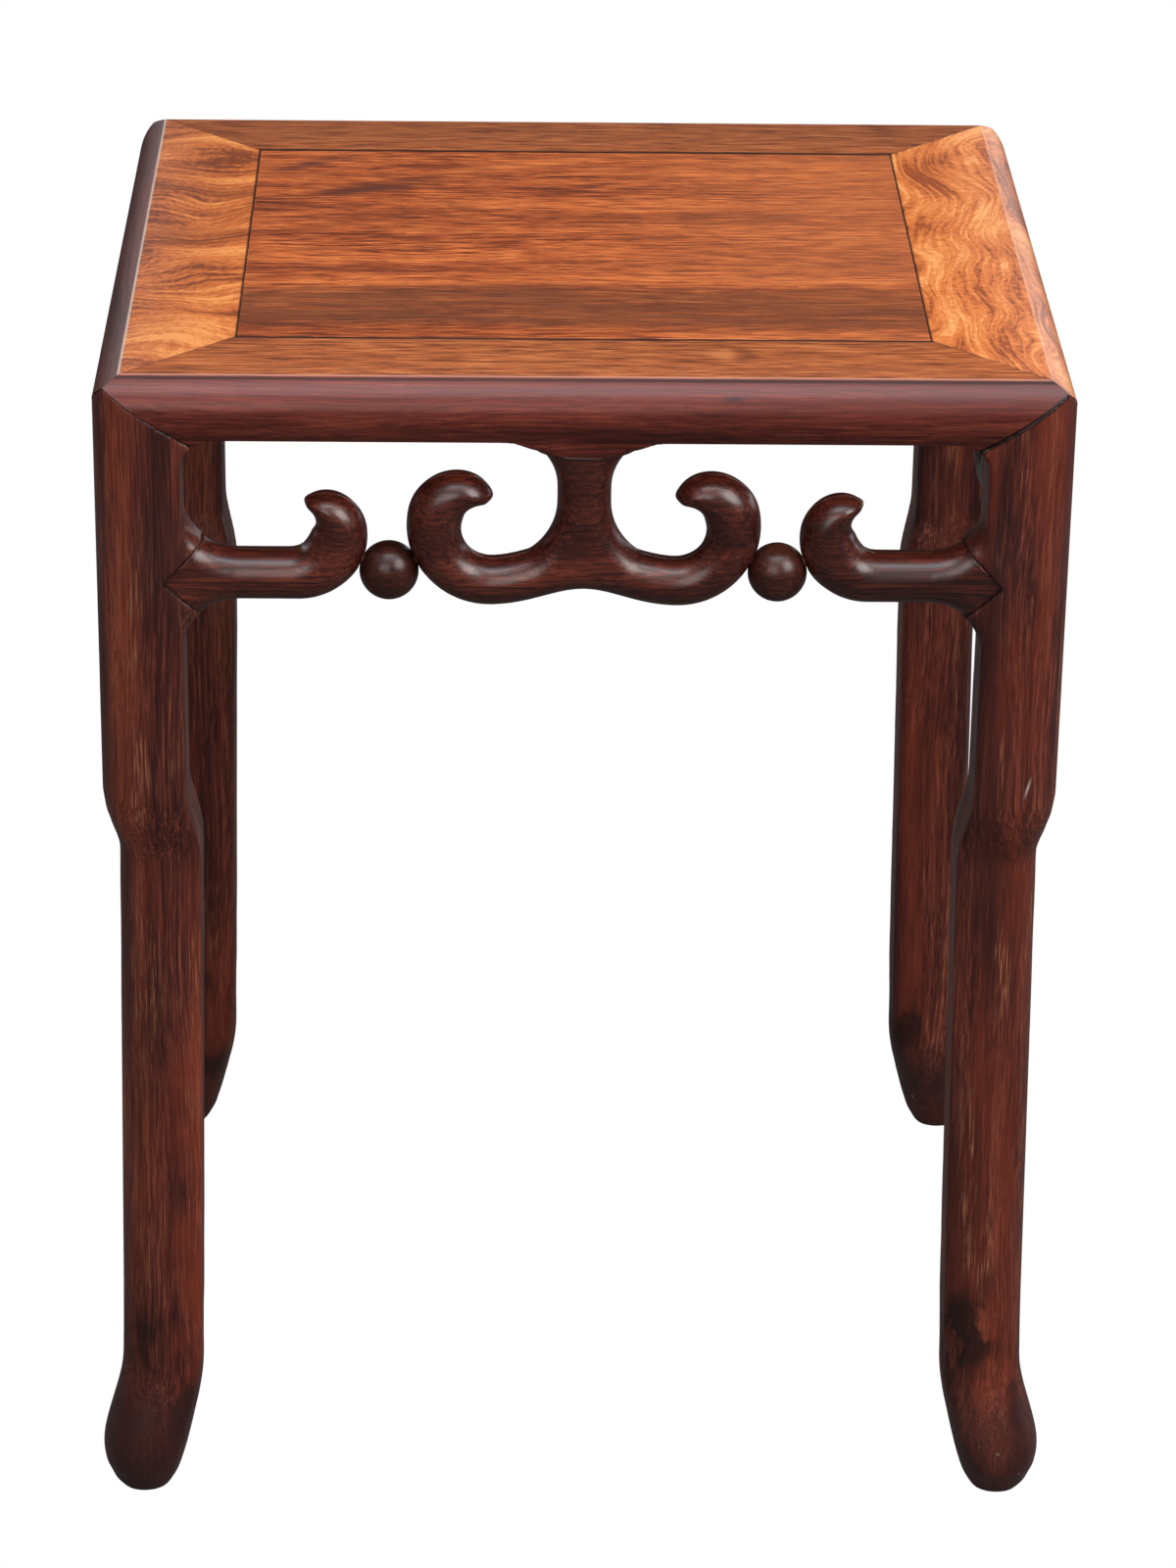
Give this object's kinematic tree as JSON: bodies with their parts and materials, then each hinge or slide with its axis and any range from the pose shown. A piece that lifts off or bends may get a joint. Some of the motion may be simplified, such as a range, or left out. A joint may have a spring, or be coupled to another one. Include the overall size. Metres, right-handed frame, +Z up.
{
  "type": "wooden stand",
  "caption": "Dark red hardwood stand: mitred frame top with floating panel, kneed legs on bulbous feet and an openwork scroll apron on each side",
  "frame": {"origin": "on the floor below the middle of the top", "axes": "+Z up; the long sides face -Y (front) and +Y (back); +X to the right when looking at the front"},
  "size_m": [0.414, 0.374, 0.522],
  "materials": {
    "leg_wood": "satin",
    "long_rail_wood": "satin",
    "short_rail_wood": "satin",
    "panel_wood": "satin",
    "apron_wood": "polished",
    "bead_wood": "polished",
    "hidden_wood": "matt"
  },
  "bodies": {
    "root": {"leg_front_left": "leg_wood", "leg_front_right": "leg_wood", "leg_back_left": "leg_wood", "leg_back_right": "leg_wood", "rail_front": "long_rail_wood", "rail_back": "long_rail_wood", "rail_left": "short_rail_wood", "rail_right": "short_rail_wood", "top_panel": "panel_wood", "panel_batten": "hidden_wood", "scroll_front": "apron_wood", "scroll_back": "apron_wood", "scroll_left": "apron_wood", "scroll_right": "apron_wood", "hook_front_left": "apron_wood", "bead_front_left": "bead_wood", "hook_front_right": "apron_wood", "bead_front_right": "bead_wood", "hook_back_left": "apron_wood", "bead_back_left": "bead_wood", "hook_back_right": "apron_wood", "bead_back_right": "bead_wood", "hook_left_left": "apron_wood", "bead_left_left": "bead_wood", "hook_left_right": "apron_wood", "bead_left_right": "bead_wood", "hook_right_left": "apron_wood", "bead_right_left": "bead_wood", "hook_right_right": "apron_wood", "bead_right_right": "bead_wood", "bead_pins": "hidden_wood"}
  },
  "joints": []
}
